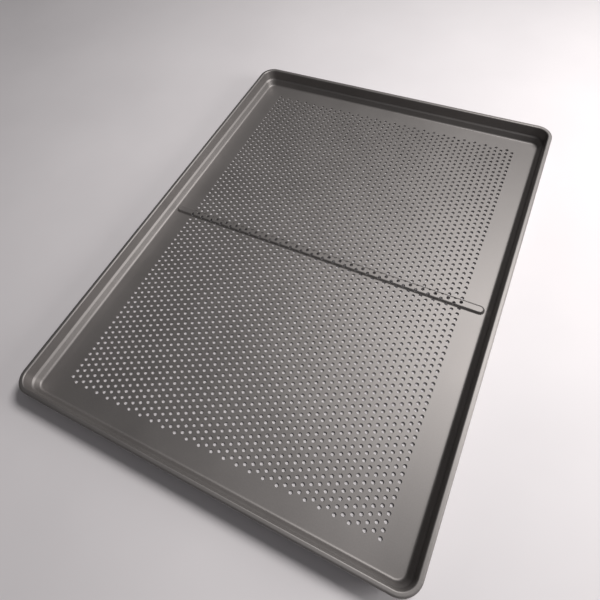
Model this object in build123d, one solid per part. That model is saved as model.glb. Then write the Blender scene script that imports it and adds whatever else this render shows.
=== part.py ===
from build123d import *
from build123d.topology import SkipClean

import math
import os

# A perforated sheet-metal baking tray with a raised cross rib and a rolled, wire-reinforced rim.
#
# Frame: millimetres, +Z up. The origin is on the resting plane, under the centre of the tray.
# X runs across the tray, along its short sides, and Y runs along its long sides.

# Overall size of the tray, and the sheet that it is pressed from
TRAY_WIDTH = 300.0
TRAY_LENGTH = 400.0
TRAY_HEIGHT = 16.0
SHEET = 0.8
CORNER_RADIUS = 14.0

# Wall section: places are (inwards from the rim's outer face, up from the resting plane)
WALL_FOOT_IN = 7.4
WALL_FOOT_RADIUS = 2.0
SHOULDER_LOW_IN = 5.6
SHOULDER_LOW_UP = 5.8
SHOULDER_TOP_IN = 4.3
SHOULDER_TOP_UP = 7.2
SHOULDER_RADIUS = 1.2
FLOOR_EDGE_IN = 9.0

# Rolled rim, and the wire inside it
RIM_WIDTH = 3.8
RIM_DEPTH = 3.8
RIM_INNER_RADIUS = 1.1
RIM_OUTER_RADIUS = 1.5
CURL_GAP = 0.15
WIRE_DIAMETER = 2.1
WIRE_END_GAP = 1.0

# Perforation: columns run along Y, and every second column is shifted by half a pitch
PITCH = 5.0
COLUMNS = 50
HOLES_PER_COLUMN = 71
HOLE_DIAMETER = 2.6

# Stiffening rib, pressed up across the floor. Its sides lean, and its ends are round.
RIB_LENGTH = 281.0
RIB_WIDTH = 8.0
RIB_TOP_WIDTH = 5.0
RIB_HEIGHT = 1.8
RIB_OFFSET_Y = -1.75
RIB_EDGE_RADIUS = 0.7
RIB_FOOT_RADIUS = 0.5

# How closely an edge must lie at a height or place to count as there
TOLERANCE = 0.01


def shifted_corners(points, distance):
    """The corners of a polyline moved sideways, to the right of its direction of travel."""
    directions = [(b - a).normalized() for a, b in zip(points, points[1:])]
    normals = [Vector(d.Y, -d.X) for d in directions]
    corners = [points[0] + normals[0] * distance]
    for before, after, corner in zip(normals, normals[1:], points[1:]):
        bisector = before + after
        corners.append(corner + bisector * (2 * distance / bisector.dot(bisector)))
    corners.append(points[-1] + normals[-1] * distance)
    return corners


def wall_section():
    """The sheet's section through wall and rim, on XZ, with X measured from the corner's axis."""
    top = TRAY_HEIGHT
    places = [
        (FLOOR_EDGE_IN, SHEET),
        (WALL_FOOT_IN, SHEET),
        (SHOULDER_LOW_IN, SHOULDER_LOW_UP),
        (SHOULDER_TOP_IN, SHOULDER_TOP_UP),
        (RIM_WIDTH, top),
        (0.0, top),
        (0.0, top - RIM_DEPTH),
        (RIM_WIDTH - SHEET - CURL_GAP, top - RIM_DEPTH),
    ]
    # The sheet's thickness lies to the right of this line. A right turn is tighter on that side.
    radii = [
        WALL_FOOT_RADIUS,
        -SHOULDER_RADIUS,
        SHOULDER_RADIUS,
        -RIM_INNER_RADIUS,
        -RIM_OUTER_RADIUS,
        -RIM_OUTER_RADIUS,
    ]
    visible = [Vector(CORNER_RADIUS - inwards, up) for inwards, up in places]
    hidden = shifted_corners(visible, SHEET)
    visible_line = FilletPolyline(*visible, radius=[abs(r) for r in radii])
    hidden_line = FilletPolyline(*hidden, radius=[abs(r + SHEET) for r in radii])
    ends = [Line(visible[0], hidden[0]), Line(visible[-1], hidden[-1])]
    return Plane.XZ * make_face([visible_line, hidden_line, *ends])


def around_the_tray(section):
    """Carries a section round the tray: along four straight sides and round four corners."""
    across = TRAY_WIDTH / 2 - CORNER_RADIUS
    along = TRAY_LENGTH / 2 - CORNER_RADIUS
    corner = revolve(section, Axis.Z, 90)
    long_side = extrude(section, along, both=True)
    short_side = extrude(section, across, both=True)
    pieces = []
    for turn, (x, y) in enumerate([(1, 1), (-1, 1), (-1, -1), (1, -1)]):
        pieces.append(Pos(x * across, y * along, 0) * Rot(0, 0, 90 * turn) * corner)
    for sign, turn in ((1, 0), (-1, 180)):
        pieces.append(Pos(sign * across, 0, 0) * Rot(0, 0, turn) * long_side)
        pieces.append(Pos(0, sign * along, 0) * Rot(0, 0, turn + 90) * short_side)
    return pieces


def hole_centres():
    """Centres of the whole perforation, which is symmetrical about the tray's centre."""
    first_x = -(COLUMNS - 1) * PITCH / 2
    first_y = -(HOLES_PER_COLUMN - 0.5) * PITCH / 2
    for column in range(COLUMNS):
        start = first_y + (PITCH / 2 if column % 2 == 0 else 0.0)
        for row in range(HOLES_PER_COLUMN):
            yield Vector(first_x + column * PITCH, start + row * PITCH)


def rib_bar(width, top_width, foot_up, top_up):
    """A bar with leaning sides and round ends, from its foot up to its flat top."""
    lean = math.degrees(math.atan2((width - top_width) / 2, top_up - foot_up))
    foot = SlotOverall(RIB_LENGTH - RIB_WIDTH + width, width)
    return Pos(0, RIB_OFFSET_Y, foot_up) * extrude(foot, top_up - foot_up, taper=lean)


def ribbed_floor():
    """The floor before it is punched, with the rib pressed up in it and hollow underneath."""
    top = SHEET + RIB_HEIGHT
    slope = (RIB_WIDTH - RIB_TOP_WIDTH) / 2 / RIB_HEIGHT
    # The hollow keeps the sheet's thickness, measured square to the rib's leaning sides
    narrower = 2 * SHEET * (math.hypot(1, slope) - slope)
    floor_width = TRAY_WIDTH - 2 * FLOOR_EDGE_IN
    floor_length = TRAY_LENGTH - 2 * FLOOR_EDGE_IN
    floor = extrude(RectangleRounded(floor_width, floor_length, CORNER_RADIUS - FLOOR_EDGE_IN), SHEET)
    floor += rib_bar(RIB_WIDTH, RIB_TOP_WIDTH, SHEET, top)
    floor -= rib_bar(RIB_WIDTH - narrower, RIB_TOP_WIDTH - narrower, 0.0, RIB_HEIGHT)
    for up, radius in (
        (top, RIB_EDGE_RADIUS),
        (SHEET, RIB_FOOT_RADIUS),
        (0.0, RIB_FOOT_RADIUS + SHEET),
    ):
        floor = fillet(rib_edges(floor, up), radius)
    return floor


def rib_edges(floor, up):
    """The closed run of edges round the rib at one height, without the floor's own outline."""

    def belongs(edge):
        middle, start = edge @ 0.5, edge @ 0
        level = abs(middle.Z - up) < TOLERANCE and abs(start.Z - up) < TOLERANCE
        within_length = abs(middle.X) < RIB_LENGTH / 2 + TOLERANCE
        return level and within_length and abs(middle.Y - RIB_OFFSET_Y) < RIB_WIDTH

    return floor.edges().filter_by(belongs)


def with_plain_margin(blank):
    """The blank with its faces divided where the perforation ends, so that the margin has its own."""
    field = Box(COLUMNS * PITCH, (HOLES_PER_COLUMN + 0.5) * PITCH, 2 * TRAY_HEIGHT)
    return blank.cut(field).fuse(*blank.intersect(field))


def punches():
    """One cylinder for each hole, tall enough to pass through the rib as well as the floor."""
    reach = 2 * TRAY_HEIGHT
    punch = Cylinder(HOLE_DIAMETER / 2, reach)
    return [Pos(centre) * punch for centre in hole_centres()]


def pan_sheet():
    """The one pressed and punched sheet: floor, rib, wall and rolled rim."""
    blank = ribbed_floor() + around_the_tray(wall_section())
    # Cleaning would join the margin's faces to the field's again
    with SkipClean():
        return with_plain_margin(blank).cut(*punches())


def rim_wire():
    """The wire inside the rolled rim. Its ends meet, with a small gap, halfway along one long side."""
    inset = RIM_WIDTH / 2
    outline = RectangleRounded(
        TRAY_WIDTH - 2 * inset, TRAY_LENGTH - 2 * inset, CORNER_RADIUS - inset
    )
    path = Pos(0, 0, TRAY_HEIGHT - RIM_DEPTH / 2) * outline.wire()
    start = path @ 0
    section = Plane(origin=start, z_dir=path % 0) * Circle(WIRE_DIAMETER / 2)
    loop = sweep(section, path=path)
    reach = 2 * WIRE_DIAMETER
    gap = Pos(TRAY_WIDTH / 2 - inset, 0, TRAY_HEIGHT - RIM_DEPTH / 2) * Box(reach, WIRE_END_GAP, reach)
    return loop - gap


os.makedirs("parts", exist_ok=True)
for name, make in (("pan_sheet", pan_sheet), ("rim_wire", rim_wire)):
    export_step(make(), f"parts/{name}.step")
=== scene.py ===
import cmath
import math

import bpy
import numpy as np
from mathutils import Matrix, Vector
from mathutils.geometry import delaunay_2d_cdt


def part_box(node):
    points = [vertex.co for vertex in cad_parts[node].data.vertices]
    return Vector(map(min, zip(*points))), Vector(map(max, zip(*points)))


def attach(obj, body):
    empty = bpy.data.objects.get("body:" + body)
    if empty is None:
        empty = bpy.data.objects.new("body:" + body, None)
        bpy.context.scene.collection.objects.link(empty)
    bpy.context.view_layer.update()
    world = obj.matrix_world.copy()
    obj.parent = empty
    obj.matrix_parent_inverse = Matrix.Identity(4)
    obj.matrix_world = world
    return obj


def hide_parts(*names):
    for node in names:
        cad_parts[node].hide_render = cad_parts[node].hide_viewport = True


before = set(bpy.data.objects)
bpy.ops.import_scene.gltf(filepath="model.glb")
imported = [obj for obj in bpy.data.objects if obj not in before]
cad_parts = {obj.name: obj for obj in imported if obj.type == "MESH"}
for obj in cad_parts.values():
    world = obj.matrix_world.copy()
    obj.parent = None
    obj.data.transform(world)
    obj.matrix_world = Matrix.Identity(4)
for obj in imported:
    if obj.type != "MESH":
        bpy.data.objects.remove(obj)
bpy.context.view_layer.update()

# A perforated sheet-metal baking tray on a pale table. Everything is in metres.
# The sheet is one mesh: a punched floor with a cross rib, and a wall and rolled rim lofted round it.

MM = 0.001
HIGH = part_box("pan_sheet")[1]
HALF_WIDTH = HIGH.x
HALF_LENGTH = HIGH.y
RIM_TOP = HIGH.z
SHEET = 0.8 * MM
CORNER_RADIUS = 14 * MM

# The wall and rim's section: distances in from the rim's outer face, and heights from the resting plane.
FLOOR_EDGE_IN = 9.0 * MM
WALL_FOOT_IN = 7.4 * MM
SHOULDER_LOW_IN = 5.6 * MM
SHOULDER_LOW_UP = 5.8 * MM
SHOULDER_TOP_IN = 4.3 * MM
SHOULDER_TOP_UP = 7.2 * MM
RIM_WIDTH = 3.8 * MM
RIM_DEPTH = 3.8 * MM
CURL_GAP = 0.15 * MM
WALL_FOOT_RADIUS = 2.0 * MM
SHOULDER_RADIUS = 1.2 * MM
RIM_INNER_RADIUS = 1.1 * MM
RIM_OUTER_RADIUS = 1.5 * MM

# The perforations, in columns along the tray that are staggered by half a pitch.
PITCH = 5 * MM
COLUMNS = 50
HOLES_PER_COLUMN = 71
HOLE_RADIUS = 1.3 * MM
HOLE_EDGE = 0.12 * MM
HOLE_SIDES = 16
STAGGER = PITCH / 2
RING_RADIUS = HOLE_RADIUS + HOLE_EDGE

# The rib across the tray's middle.
RIB_Y = -1.75 * MM
RIB_HALF_LENGTH = 140.5 * MM
RIB_HALF_FOOT = 4.0 * MM
RIB_HALF_TOP = 2.5 * MM
RIB_HEIGHT = 1.8 * MM
RIB_EDGE_RADIUS = 1.1 * MM
RIB_FOOT_RADIUS = 0.9 * MM

# How finely bends, corners and long sides are divided.
BEND_STEPS = 6
CORNER_STEPS = 12
STATION_SPACING = 5 * MM

# Points this close are one. The triangulation works in millimetres and keeps what its lines enclose.
WELD = 0.0005 * MM
TRIANGULATION_TOLERANCE = 0.005
ENCLOSED_ONLY = 1

# Edges that turn more than this are shaded sharp.
SHARP_ANGLE = math.radians(30)

# The sheet's two sides lie flat in its bake, with the wall folded out and each hole's lining folded in.
BAKE_BORDER = 56 * MM
BAKED_ROUNDING = 0.8
BAKED_LINING = 0.3

# The coating: its two tones, and the sizes of its patterns.
COATING_DARK = (0.232, 0.219, 0.215)
COATING_PALE = (0.305, 0.289, 0.283)
ROUGHNESS = 0.56
METALLIC = 0.85
GRAIN_SIZE = 0.35 * MM
GRAIN_DEPTH = 0.012 * MM
FLAKE_SIZE = 0.9 * MM
MOTTLE_SIZE = 45 * MM
RIPPLE_SIZE = 6 * MM
RIPPLE_DEPTH = 0.02 * MM

# The wire's zinc.
ZINC_DARK = (0.42, 0.43, 0.44)
ZINC_PALE = (0.66, 0.67, 0.69)
ZINC_METALLIC = 0.95
SPANGLE_SIZE = 1.5 * MM
ZINC_GRAIN_SIZE = 0.3 * MM
ZINC_GRAIN_DEPTH = 0.01 * MM

# The table: its tones, and how far it falls for each metre to the right and to the back.
TABLE_DARK = (0.705, 0.679, 0.699)
TABLE_PALE = (0.745, 0.718, 0.738)
TABLE_ROUGHNESS = 0.75
TABLE_CLOUD_SIZE = 120 * MM
TABLE_SIZE = 5
TABLE_FALL_ACROSS = 0.0016
TABLE_FALL_ALONG = 0.0014

# Two soft windows that face the tray's centre, and a room that is bright overhead and on the right.
TRAY_CENTRE = (0, 0, 0)
WINDOW_PLACE = (0.31, 0.35, 0.76)
WINDOW_SIZE = 0.32
WINDOW_POWER = 6.6
LOW_WINDOW_PLACE = (0.74, 0.16, 0.28)
LOW_WINDOW_SIZE = 0.4
LOW_WINDOW_POWER = 3.3
WINDOW_COLOUR = (1.0, 0.98, 0.96)
ROOM_BRIGHT_SIDE = (0.68, -0.05, 0.73)
ROOM_DARK = 0.006
ROOM_BRIGHT = 0.29
ROOM_EDGE = 0.05
ROOM_COLOUR = (1.0, 0.98, 0.99)

# The camera. Its lens and sensor are in millimetres, as Blender takes them.
CAMERA_SENSOR = 36
CAMERA_LENS = 25.92
CAMERA_PLACE = (0.1024, -0.1908, 0.2984)
CAMERA_TARGET = (0.0073, -0.0468, 0.0008)
CAMERA_ROLL = math.radians(-9.12)


# ---------- plan and section lines ----------

def rounded_line(corners, radii, steps=BEND_STEPS):
    """The points of a line whose inner corners are arcs, and the left-hand normal at each point."""
    corners = [complex(*corner) for corner in corners]
    runs = [(end - start) / abs(end - start) for start, end in zip(corners, corners[1:])]
    points, normals = [corners[0]], [runs[0] * 1j]
    for corner, arriving, leaving, radius in zip(corners[1:], runs, runs[1:], radii):
        turn = cmath.phase(leaving / arriving)
        reach = arriving * radius * math.tan(abs(turn) / 2)
        to_arc = radius * math.copysign(1, turn)
        centre = corner - reach + arriving * 1j * to_arc
        for step in range(steps + 1):
            normal = arriving * 1j * cmath.rect(1, turn * step / steps)
            points.append(centre - normal * to_arc)
            normals.append(normal)
    points.append(corners[-1])
    normals.append(runs[-1] * 1j)
    return in_plane(points), in_plane(normals)


def in_plane(numbers):
    """Complex numbers as rows of two coordinates."""
    numbers = np.array(numbers)
    return np.stack([numbers.real, numbers.imag], 1)


def plan_stations():
    """Where the wall's section stands round the tray: a base point and an outward direction for each."""
    across = HALF_WIDTH - CORNER_RADIUS
    along = HALF_LENGTH - CORNER_RADIUS
    centres = [(across, -along), (across, along), (-across, along), (-across, -along)]
    bases, directions = [], []
    for quarter, centre in enumerate(centres):
        for step in range(CORNER_STEPS + 1):
            angle = math.radians(-90 + 90 * quarter + 90 * step / CORNER_STEPS)
            bases.append(centre)
            directions.append((math.cos(angle), math.sin(angle)))
        following = centres[(quarter + 1) % 4]
        run = math.dist(centre, following)
        count = round(run / STATION_SPACING)
        for step in range(1, count):
            share = step / count
            bases.append([a + (b - a) * share for a, b in zip(centre, following)])
            directions.append(directions[-1])
    return np.array(bases), np.array(directions)


STATION_BASES, STATION_DIRECTIONS = plan_stations()


def outline(inward):
    """The tray's plan at a distance in from its outer face, one point for each station."""
    return STATION_BASES + STATION_DIRECTIONS * (CORNER_RADIUS - inward)


def wall_section():
    """The visible face from the floor's edge to the curl's end, and the hidden face, one sheet behind it."""
    corners = [
        (-FLOOR_EDGE_IN, SHEET),
        (-WALL_FOOT_IN, SHEET),
        (-SHOULDER_LOW_IN, SHOULDER_LOW_UP),
        (-SHOULDER_TOP_IN, SHOULDER_TOP_UP),
        (-RIM_WIDTH, RIM_TOP),
        (0, RIM_TOP),
        (0, RIM_TOP - RIM_DEPTH),
        (-(RIM_WIDTH - SHEET - CURL_GAP), RIM_TOP - RIM_DEPTH),
    ]
    radii = [WALL_FOOT_RADIUS, SHOULDER_RADIUS, SHOULDER_RADIUS]
    radii += [RIM_INNER_RADIUS, RIM_OUTER_RADIUS, RIM_OUTER_RADIUS]
    visible, normals = rounded_line(corners, radii)
    return visible, visible - normals * SHEET


# ---------- the punched floor, flat ----------

def column_start(column):
    """The first hole's Y in a column. Even columns sit half a pitch further along."""
    first = -(HOLES_PER_COLUMN * PITCH) / 2 + PITCH / 2 - STAGGER / 2
    return first + STAGGER * (1 - column % 2)


def hole_centre(column, row):
    """The centres of the holes at these columns and rows."""
    x = (column - (COLUMNS - 1) / 2) * PITCH
    return np.stack([x, column_start(column) + row * PITCH], 1)


def hole_centres():
    """The centres of all the holes."""
    column = np.repeat(np.arange(COLUMNS), HOLES_PER_COLUMN)
    row = np.tile(np.arange(HOLES_PER_COLUMN), COLUMNS)
    return hole_centre(column, row)


def nearest_hole(points):
    """The centre of the cell that each point is in, or of the nearest cell at the field's edge."""
    column = np.round(points[:, 0] / PITCH + (COLUMNS - 1) / 2).clip(0, COLUMNS - 1)
    row = np.round((points[:, 1] - column_start(column)) / PITCH).clip(0, HOLES_PER_COLUMN - 1)
    return hole_centre(column, row)


def cell_pattern():
    """A square cell's edge and its hole's edge, as two rings with the same number of points."""
    turn = np.arange(HOLE_SIDES)
    angle = turn * 2 * math.pi / HOLE_SIDES
    x = (2 - np.minimum(turn, HOLE_SIDES - turn) / (HOLE_SIDES / 8)).clip(-1, 1)
    square = np.stack([x, np.roll(x, HOLE_SIDES // 4)], 1) * PITCH / 2
    circle = np.stack([np.cos(angle), np.sin(angle)], 1) * RING_RADIUS
    return square, circle


def in_a_hole(points):
    """Which points of the plan are inside the many-sided line of a hole's edge."""
    side = 2 * math.pi / HOLE_SIDES
    offset = points - nearest_hole(points)
    angle = np.arctan2(offset[:, 1], offset[:, 0]) % side - side / 2
    return np.hypot(offset[:, 0], offset[:, 1]) * np.cos(angle) < RING_RADIUS * math.cos(side / 2)


def rib_profile():
    """The rib's half section: distances from its centre line, and heights above the floor."""
    corners = [(0, RIB_HEIGHT), (RIB_HALF_TOP, RIB_HEIGHT), (RIB_HALF_FOOT, 0), (RIB_HALF_FOOT + MM, 0)]
    points, _ = rounded_line(corners, [RIB_EDGE_RADIUS, RIB_FOOT_RADIUS])
    return points[:, 0], points[:, 1]


RIB_DISTANCES, RIB_HEIGHTS = rib_profile()


def rib_height(points):
    """How far the sheet is pressed up at each point of the plan."""
    reach = RIB_HALF_LENGTH - RIB_HALF_FOOT
    along = points[:, 0].clip(-reach, reach)
    distance = np.hypot(points[:, 0] - along, points[:, 1] - RIB_Y)
    return np.interp(distance, RIB_DISTANCES, RIB_HEIGHTS)


def rib_ring(distance):
    """A closed line at one distance from the rib's centre line."""
    reach = RIB_HALF_LENGTH - RIB_HALF_FOOT
    angle = np.linspace(-math.pi / 2, math.pi / 2, 2 * CORNER_STEPS + 1)
    end = np.stack([np.cos(angle), np.sin(angle)], 1) * distance
    right = end + (reach, RIB_Y)
    left = -end + (-reach, RIB_Y)
    return np.concatenate([right, left])


def ring_edges(start, count):
    """The edges that join consecutive points into a ring."""
    index = np.arange(count)
    return np.stack([start + index, start + (index + 1) % count], 1)


def open_edges(face_groups):
    """The edges that only one face uses, each in that face's direction."""
    pairs = []
    for faces in face_groups:
        following = np.roll(faces, -1, 1)
        pairs.append(np.stack([faces, following], 2).reshape(-1, 2))
    edges = np.concatenate(pairs)
    _, index, count = np.unique(np.sort(edges, 1), axis=0, return_index=True, return_counts=True)
    return edges[index[count == 1]]


def welded(points, face_groups):
    """The points with none twice in one place, and the face groups on them."""
    key = np.round(points / WELD).astype(np.int64)
    _, index, inverse = np.unique(key, axis=0, return_index=True, return_inverse=True)
    inverse = inverse.reshape(-1)
    return points[index], [inverse[faces] for faces in face_groups]


def by_the_rib(points):
    """Which holes have a cell that the rib's bends cross."""
    return np.abs(points[:, 1] - RIB_Y) < RIB_DISTANCES[-2] + PITCH / 2


def plain_cells():
    """The cells clear of the rib: a ring of four-sided faces round each hole."""
    square, circle = cell_pattern()
    pattern = np.concatenate([square, circle])
    centres = hole_centres()
    centres = centres[~by_the_rib(centres)]
    points = (centres[:, None] + pattern[None]).reshape(-1, 2)
    outer = ring_edges(0, HOLE_SIDES)
    faces = np.concatenate([outer, outer[:, ::-1] + HOLE_SIDES], 1)
    first = np.arange(len(centres)) * len(pattern)
    faces = (first[:, None, None] + faces[None]).reshape(-1, 4)
    return welded(points, [faces])


def rest_of_the_floor(field, field_edges):
    """Triangles over the plain margin and the rib, joined to the cells, with a line along each bend."""
    _, circle = cell_pattern()
    centres = hole_centres()
    rings = [outline(FLOOR_EDGE_IN)]
    rings += [rib_ring(distance) for distance in RIB_DISTANCES[1:-1]]
    rings += [centre + circle for centre in centres[by_the_rib(centres)]]
    points, edges = [field], [field_edges]
    count = len(field)
    for ring in rings:
        points.append(ring)
        edges.append(ring_edges(count, len(ring)))
        count += len(ring)
    given = np.concatenate(points)
    corners = [Vector(point) for point in given / MM]
    found, _, faces, sources, _, _ = delaunay_2d_cdt(
        corners, np.concatenate(edges).tolist(), [], ENCLOSED_ONLY, TRIANGULATION_TOLERANCE)
    points = np.array([given[source[0]] if source else np.array(point) * MM
                       for point, source in zip(found, sources)])
    faces = np.array(faces)
    middle = points[faces].mean(1)
    cell = nearest_hole(middle)
    in_plain_cell = (np.abs(middle - cell).max(1) < PITCH / 2 + WELD) & ~by_the_rib(cell)
    return points, faces[~in_plain_cell & ~in_a_hole(middle)]


def flat_floor():
    """The punched floor's plan: its points, its four-sided faces and its triangles."""
    field, (quads,) = plain_cells()
    edges = open_edges([quads])
    on_cell_edge = ~at_a_hole(field)[edges].any(1)
    edges = edges[on_cell_edge]
    used = np.unique(edges)
    points, triangles = rest_of_the_floor(field[used], np.searchsorted(used, edges))
    points = np.concatenate([field, points])
    return welded(points, [quads, triangles + len(field)])


def at_a_hole(points):
    """Which points of the plan are on the edge line of a hole."""
    return np.linalg.norm(points - nearest_hole(points), axis=1) < RING_RADIUS + WELD


# ---------- the sheet as a solid ----------

def raised(plan, height):
    """Points of the plan at a height above the underside, on the rib where they are over it."""
    return np.column_stack([plan, rib_height(plan) + height])


def towards_hole(plan, share):
    """Points of the plan moved so that they keep only a share of their distance from the hole's centre."""
    centre = nearest_hole(plan)
    return centre + (plan - centre) * share


def floor_solid():
    """The floor's points, and its parts: faces, their corners' places in the bake's plan, and the side."""
    plan, (quads, triangles) = flat_floor()
    edges = open_edges([quads, triangles])
    edges = edges[at_a_hole(plan)[edges].all(1)]
    hole = np.unique(edges)
    count = len(plan)
    narrow = plan.copy()
    narrow[hole] = towards_hole(plan[hole], HOLE_RADIUS / RING_RADIUS)
    points = np.concatenate([
        raised(plan, SHEET),
        raised(narrow, 0),
        raised(narrow[hole], SHEET - HOLE_EDGE),
    ])
    a, b = edges[:, 0], edges[:, 1]
    a_low = 2 * count + np.searchsorted(hole, a)
    b_low = 2 * count + np.searchsorted(hole, b)
    rounding = np.stack([b, a, a_low, b_low], 1)
    lining = np.stack([b_low, a_low, a + count, b + count], 1)
    spread = np.concatenate([
        plan,
        towards_hole(plan, BAKED_LINING),
        towards_hole(plan[hole], BAKED_ROUNDING),
    ])
    parts = [(faces, spread[faces], False) for faces in (quads, triangles, rounding, lining)]
    for faces in (quads, triangles):
        turned = faces[:, ::-1]
        parts.append((turned + count, narrow[turned], True))
    return points, parts


def loft(section, spread):
    """A strip of faces that carries a section round the tray, and its corners' places in the bake's plan."""
    stations = len(STATION_BASES)
    points = [np.column_stack([outline(-x), np.full(stations, z)]) for x, z in section]
    flat = np.concatenate([outline(FLOOR_EDGE_IN - distance) for distance in spread])
    around = ring_edges(0, stations)
    rows = []
    for row in range(len(section) - 1):
        start = around[:, ::-1] + row * stations
        rows.append(np.concatenate([start, around + (row + 1) * stations], 1))
    faces = np.concatenate(rows)
    return np.concatenate(points), faces, flat[faces]


def wall_solid():
    """The wall and rim's points and parts, in the floor's form."""
    visible, hidden = wall_section()
    visible = np.concatenate([visible, hidden[-1:]])
    points, parts = [], []
    for section, under in ((visible, False), (hidden, True)):
        steps = np.linalg.norm(np.diff(section, axis=0), axis=1)
        strip, faces, flat = loft(section, np.concatenate([[0], np.cumsum(steps)]))
        faces = faces + sum(len(part) for part in points)
        if under:
            faces, flat = faces[:, ::-1], flat[:, ::-1]
        points.append(strip)
        parts.append((faces, flat, under))
    return np.concatenate(points), parts


def bake_map(flat, under):
    """The place in the bake of plan positions: the two sides of the sheet lie next to each other."""
    width = 2 * HALF_WIDTH + BAKE_BORDER
    length = 2 * HALF_LENGTH + BAKE_BORDER
    x = flat[..., 0] + width / 2 + width * under
    y = flat[..., 1] + length / 2
    return np.stack([x, y], -1) / max(2 * width, length)


def sheet_piece():
    """The whole sheet as one closed mesh."""
    floor_points, parts = floor_solid()
    wall_points, wall_parts = wall_solid()
    parts += [(faces + len(floor_points), flat, under) for faces, flat, under in wall_parts]
    points, face_groups = welded(np.concatenate([floor_points, wall_points]), [part[0] for part in parts])
    mesh = bpy.data.meshes.new("tray_sheet")
    mesh.from_pydata(points.tolist(), [], [face for group in face_groups for face in group.tolist()])
    layer = mesh.uv_layers.new(name="OFBake")
    places = [bake_map(flat, under).reshape(-1, 2) for _, flat, under in parts]
    layer.data.foreach_set("uv", np.concatenate(places).astype(np.float32).reshape(-1))
    mesh.shade_smooth()
    mesh.set_sharp_from_angle(angle=SHARP_ANGLE)
    piece = bpy.data.objects.new("tray_sheet", mesh)
    bpy.context.scene.collection.objects.link(piece)
    shading = piece.modifiers.new("even_shading", "WEIGHTED_NORMAL")
    shading.keep_sharp = True
    return piece


# ---------- materials ----------

class Nodes:
    """A material's node tree, with short calls for the nodes that this scene uses."""

    def __init__(self, name):
        self.material = bpy.data.materials.new(name)
        self.material.use_nodes = True
        self.tree = self.material.node_tree
        self.shader = self.tree.nodes["Principled BSDF"]
        self.place = self.tree.nodes.new("ShaderNodeTexCoord").outputs["Object"]

    def link(self, source, target):
        self.tree.links.new(source, target)

    def noise(self, size, detail=2.0):
        """A pattern from 0 to 1 whose blotches are about a size across."""
        texture = self.tree.nodes.new("ShaderNodeTexNoise")
        texture.inputs["Scale"].default_value = 1 / size
        texture.inputs["Detail"].default_value = detail
        self.link(self.place, texture.inputs["Vector"])
        return texture.outputs["Fac"]

    def spread(self, value, low, high):
        """A pattern's value, most of which is between 0.3 and 0.7, carried to the range from low to high."""
        node = self.tree.nodes.new("ShaderNodeMapRange")
        node.inputs["From Min"].default_value = 0.3
        node.inputs["From Max"].default_value = 0.7
        node.inputs["To Min"].default_value = low
        node.inputs["To Max"].default_value = high
        self.link(value, node.inputs["Value"])
        return node.outputs["Result"]

    def sum(self, first, second):
        """Two values added together."""
        node = self.tree.nodes.new("ShaderNodeMath")
        node.operation = "ADD"
        self.link(first, node.inputs[0])
        self.link(second, node.inputs[1])
        return node.outputs["Value"]

    def colour(self, value, first, second):
        """A colour between two, by a value from 0 to 1."""
        node = self.tree.nodes.new("ShaderNodeMix")
        node.data_type = "RGBA"
        node.inputs["A"].default_value = (*first, 1)
        node.inputs["B"].default_value = (*second, 1)
        self.link(value, node.inputs["Factor"])
        return node.outputs["Result"]

    def bump(self, height, distance, strength, under=None):
        """Relief whose height is a distance at the pattern's brightest."""
        node = self.tree.nodes.new("ShaderNodeBump")
        node.inputs["Distance"].default_value = distance
        node.inputs["Strength"].default_value = strength
        self.link(height, node.inputs["Height"])
        if under:
            self.link(under, node.inputs["Normal"])
        return node.outputs["Normal"]


def non_stick_coating():
    """A warm grey satin coating with metal flake: fine grain, soft mottling and a slight ripple."""
    nodes = Nodes("non_stick_coating")
    grain = nodes.noise(GRAIN_SIZE)
    flake = nodes.noise(FLAKE_SIZE, detail=4)
    mottle = nodes.noise(MOTTLE_SIZE, detail=3)
    tone = nodes.sum(nodes.spread(flake, 0, 0.35), nodes.spread(mottle, 0, 0.35))
    nodes.link(nodes.colour(tone, COATING_DARK, COATING_PALE), nodes.shader.inputs["Base Color"])
    roughness = nodes.sum(nodes.spread(mottle, ROUGHNESS - 0.03, ROUGHNESS), nodes.spread(flake, 0, 0.04))
    nodes.link(roughness, nodes.shader.inputs["Roughness"])
    ripple = nodes.bump(nodes.noise(RIPPLE_SIZE), RIPPLE_DEPTH, 0.4)
    nodes.link(nodes.bump(grain, GRAIN_DEPTH, 0.5, ripple), nodes.shader.inputs["Normal"])
    nodes.shader.inputs["Metallic"].default_value = METALLIC
    return nodes.material


def galvanised_wire():
    """Galvanised wire: pale zinc with a soft spangle and fine grain."""
    nodes = Nodes("galvanised_wire")
    spangle = nodes.noise(SPANGLE_SIZE, detail=3)
    tone = nodes.spread(spangle, 0, 1)
    nodes.link(nodes.colour(tone, ZINC_DARK, ZINC_PALE), nodes.shader.inputs["Base Color"])
    nodes.link(nodes.spread(spangle, 0.32, 0.5), nodes.shader.inputs["Roughness"])
    grain = nodes.noise(ZINC_GRAIN_SIZE)
    nodes.link(nodes.bump(grain, ZINC_GRAIN_DEPTH, 0.5), nodes.shader.inputs["Normal"])
    nodes.shader.inputs["Metallic"].default_value = ZINC_METALLIC
    return nodes.material


def table_top():
    """A pale, faintly lilac matt surface."""
    nodes = Nodes("table_top")
    tone = nodes.spread(nodes.noise(TABLE_CLOUD_SIZE, detail=3), 0, 1)
    nodes.link(nodes.colour(tone, TABLE_DARK, TABLE_PALE), nodes.shader.inputs["Base Color"])
    nodes.shader.inputs["Roughness"].default_value = TABLE_ROUGHNESS
    return nodes.material


# ---------- table, light and camera ----------

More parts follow.
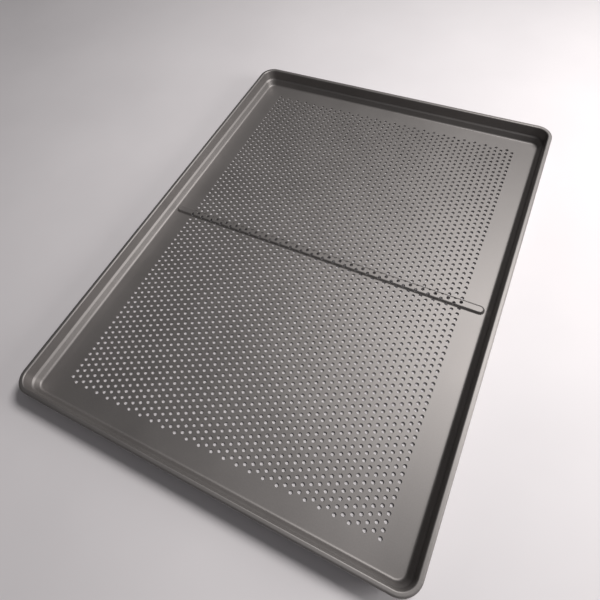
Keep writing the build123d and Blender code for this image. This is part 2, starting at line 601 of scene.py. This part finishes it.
def table():
    """A very slightly sloping top, which the tray touches at its near left corner."""
    mesh = bpy.data.meshes.new("table")
    half = TABLE_SIZE / 2
    plan = [(-half, -half), (half, -half), (half, half), (-half, half)]
    left, near = -HALF_WIDTH, -HALF_LENGTH
    corners = [(x, y, (left - x) * TABLE_FALL_ACROSS + (near - y) * TABLE_FALL_ALONG) for x, y in plan]
    mesh.from_pydata(corners, [], [(0, 1, 2, 3)])
    mesh.materials.append(table_top())
    piece = bpy.data.objects.new("table", mesh)
    bpy.context.scene.collection.objects.link(piece)


def aimed(obj, place, target, roll=0.0):
    """Puts a light or camera at a place, looking at a target, and turned about that line."""
    obj.location = place
    look = (Vector(target) - Vector(place)).to_track_quat("-Z", "Y")
    obj.rotation_euler = (look.to_matrix() @ Matrix.Rotation(roll, 3, "Z")).to_euler()
    bpy.context.scene.collection.objects.link(obj)


def window(name, place, size, power):
    """A round, soft light that faces the tray's centre."""
    lamp = bpy.data.lights.new(name, "AREA")
    lamp.shape = "DISK"
    lamp.size = size
    lamp.energy = power
    lamp.color = WINDOW_COLOUR
    aimed(bpy.data.objects.new(name, lamp), place, TRAY_CENTRE)


def room_light():
    """A dim room, brighter overhead and on the right than on the left."""
    world = bpy.data.worlds.new("room")
    world.use_nodes = True
    tree = world.node_tree
    place = tree.nodes.new("ShaderNodeTexCoord").outputs["Generated"]
    along = tree.nodes.new("ShaderNodeVectorMath")
    along.operation = "DOT_PRODUCT"
    along.inputs[1].default_value = ROOM_BRIGHT_SIDE
    shade = tree.nodes.new("ShaderNodeMapRange")
    shade.interpolation_type = "SMOOTHSTEP"
    shade.inputs["From Min"].default_value = ROOM_EDGE
    shade.inputs["To Min"].default_value = ROOM_DARK
    shade.inputs["To Max"].default_value = ROOM_BRIGHT
    background = tree.nodes["Background"]
    background.inputs["Color"].default_value = (*ROOM_COLOUR, 1)
    tree.links.new(place, along.inputs[0])
    tree.links.new(along.outputs["Value"], shade.inputs["Value"])
    tree.links.new(shade.outputs["Result"], background.inputs["Strength"])
    bpy.context.scene.world = world


def camera():
    """The camera that the scene is seen through."""
    lens = bpy.data.cameras.new("camera")
    lens.sensor_width = CAMERA_SENSOR
    lens.lens = CAMERA_LENS
    eye = bpy.data.objects.new("camera", lens)
    aimed(eye, CAMERA_PLACE, CAMERA_TARGET, CAMERA_ROLL)
    bpy.context.scene.camera = eye


# ---------- the scene ----------

sheet = sheet_piece()
sheet.data.materials.append(non_stick_coating())
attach(sheet, "root")
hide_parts("pan_sheet")

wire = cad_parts["rim_wire"]
wire.data.materials.clear()
wire.data.materials.append(galvanised_wire())

table()
window("window", WINDOW_PLACE, WINDOW_SIZE, WINDOW_POWER)
window("low_window", LOW_WINDOW_PLACE, LOW_WINDOW_SIZE, LOW_WINDOW_POWER)
room_light()
camera()
bpy.context.scene.view_settings.view_transform = "Standard"
